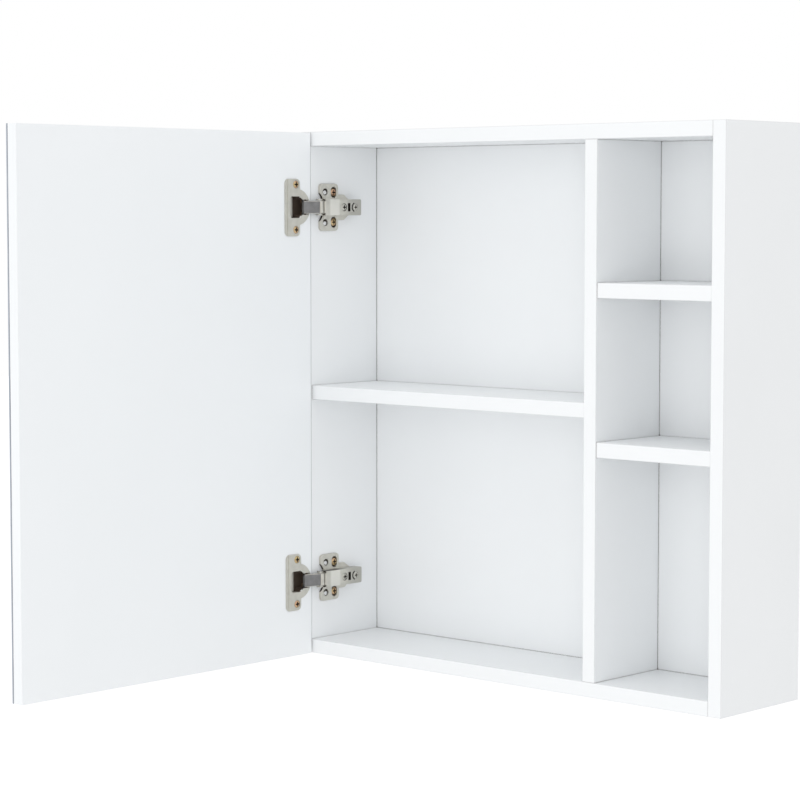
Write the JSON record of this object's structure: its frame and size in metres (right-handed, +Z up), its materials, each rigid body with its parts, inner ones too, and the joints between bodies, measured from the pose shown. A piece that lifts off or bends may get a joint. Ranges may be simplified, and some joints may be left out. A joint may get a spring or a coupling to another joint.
{
  "type": "bathroom mirror cabinet",
  "caption": "White wall-hung bathroom cabinet with open shelves at one side and a mirrored door on concealed cup hinges, shown with the door open.",
  "frame": {"origin": "on the wall plane, midway between the two keyholes of the hanging plates", "axes": "+X to the right seen from the front, +Y into the wall, +Z up"},
  "size_m": [0.552, 0.5309, 0.56],
  "materials": {
    "white_board": "satin white melamine on particle board",
    "white_back_board": "satin white on thin fibre board",
    "raw_board": "white melamine board",
    "beech": "plain beech",
    "mirror": "silvered glass with a ground edge",
    "backing_film": "grey backing film",
    "nickel_steel": "satin nickel plate",
    "zinc_steel": "bright zinc plate",
    "zinc_casting": "plain zinc casting",
    "yellow_zinc": "yellow zinc plate on steel"
  },
  "bodies": {
    "carcass": {"left_side_panel": "white_board", "right_side_panel": "white_board", "top_panel": "white_board", "bottom_panel": "white_board", "divider_panel": "white_board", "main_shelf": "white_board", "right_upper_shelf": "white_board", "right_lower_shelf": "white_board", "hanger_rail": "raw_board", "back_panel": "white_back_board", "wooden_dowels": "beech", "cam_bolts": "zinc_steel", "cam_locks": "zinc_casting", "divider_screws": "zinc_steel", "hanger_plates": "zinc_steel", "hanger_screws": "zinc_steel", "upper_hinge_arm": "nickel_steel", "upper_hinge_arm_pin": "zinc_steel", "upper_hinge_adjusting_screw": "nickel_steel", "upper_hinge_lock_screw": "nickel_steel", "upper_hinge_plate": "nickel_steel", "upper_hinge_plate_screws": "yellow_zinc", "lower_hinge_arm": "nickel_steel", "lower_hinge_arm_pin": "zinc_steel", "lower_hinge_adjusting_screw": "nickel_steel", "lower_hinge_lock_screw": "nickel_steel", "lower_hinge_plate": "nickel_steel", "lower_hinge_plate_screws": "yellow_zinc"},
    "upper_link": {"upper_hinge_link": "nickel_steel"},
    "lower_link": {"lower_hinge_link": "nickel_steel"},
    "door": {"door_panel": "white_board", "mirror_backing_film": "backing_film", "mirror_glass": "mirror", "upper_hinge_cup": "nickel_steel", "upper_hinge_cup_screws": "yellow_zinc", "upper_hinge_cup_pin": "zinc_steel", "lower_hinge_cup": "nickel_steel", "lower_hinge_cup_screws": "yellow_zinc", "lower_hinge_cup_pin": "zinc_steel"}
  },
  "joints": [
    {"name": "upper_link_turn", "type": "hinge", "parent": "carcass", "child": "upper_link", "pos_m": [-0.2533, -0.124, -0.04], "axis": [0, 0, 1], "range_deg": [-20.56, 1.87]},
    {"name": "door_turn", "type": "hinge", "parent": "upper_link", "child": "door", "pos_m": [-0.2629, -0.14015, -0.04], "axis": [0, 0, 1], "range_deg": [-9.82, 110.51]},
    {"name": "lower_link_turn", "type": "hinge", "parent": "carcass", "child": "lower_link", "pos_m": [-0.2533, -0.124, -0.44], "axis": [0, 0, 1], "range_deg": [-20.56, 1.87]}
  ],
  "couplings": [
    {"joint": "upper_link_turn", "follows": "door_turn", "ratio": -0.1856},
    {"joint": "lower_link_turn", "follows": "door_turn", "ratio": -0.1856}
  ]
}
